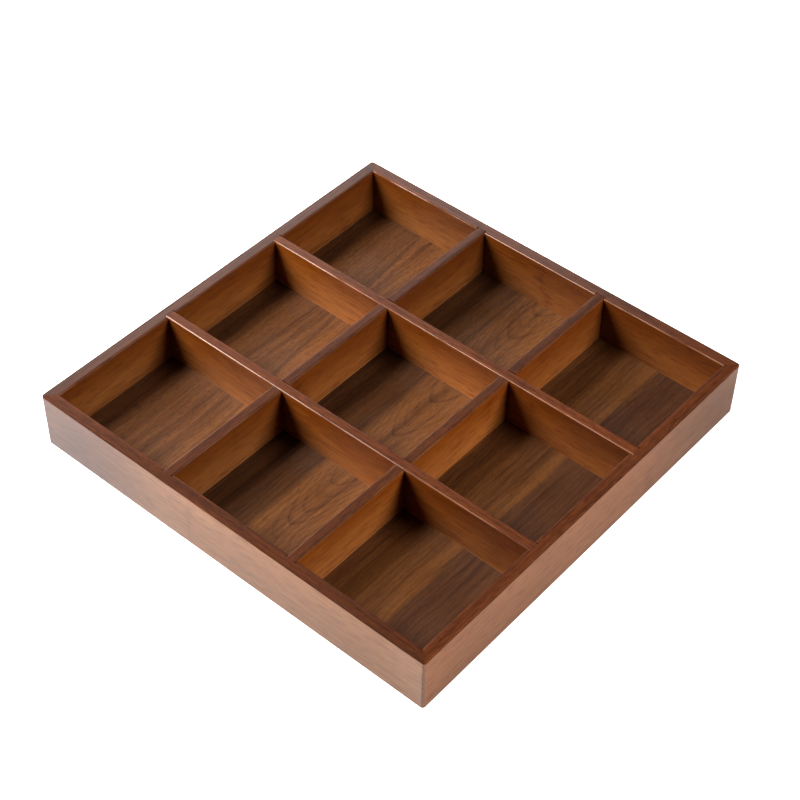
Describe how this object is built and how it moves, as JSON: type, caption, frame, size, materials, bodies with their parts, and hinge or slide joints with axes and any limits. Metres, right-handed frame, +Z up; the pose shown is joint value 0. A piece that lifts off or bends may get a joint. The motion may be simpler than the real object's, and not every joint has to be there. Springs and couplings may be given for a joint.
{
  "type": "divided snack box",
  "caption": "Shallow square wooden box, open on top, with mitred walls and a half-lapped divider grid that parts snacks into equal square compartments over a thin floor panel.",
  "frame": {"origin": "middle of the footprint, on the surface the box stands on", "axes": "+Z up; +X along the long dividers, from the left wall to the right wall; -Y towards the front wall"},
  "size_m": [0.3, 0.3, 0.04],
  "materials": {
    "wall_wood": "laminated bamboo, stained brown under satin lacquer, grain along each wall",
    "divider_wood": "laminated bamboo, stained brown under satin lacquer, grain along each divider",
    "panel_wood": "dark walnut veneer in leaves side by side, under thin satin lacquer"
  },
  "bodies": {
    "root": {"front_wall": "wall_wood", "right_wall": "wall_wood", "back_wall": "wall_wood", "left_wall": "wall_wood", "long_divider_1": "divider_wood", "long_divider_2": "divider_wood", "cross_divider_1": "divider_wood", "cross_divider_2": "divider_wood", "floor_panel": "panel_wood"}
  },
  "joints": []
}
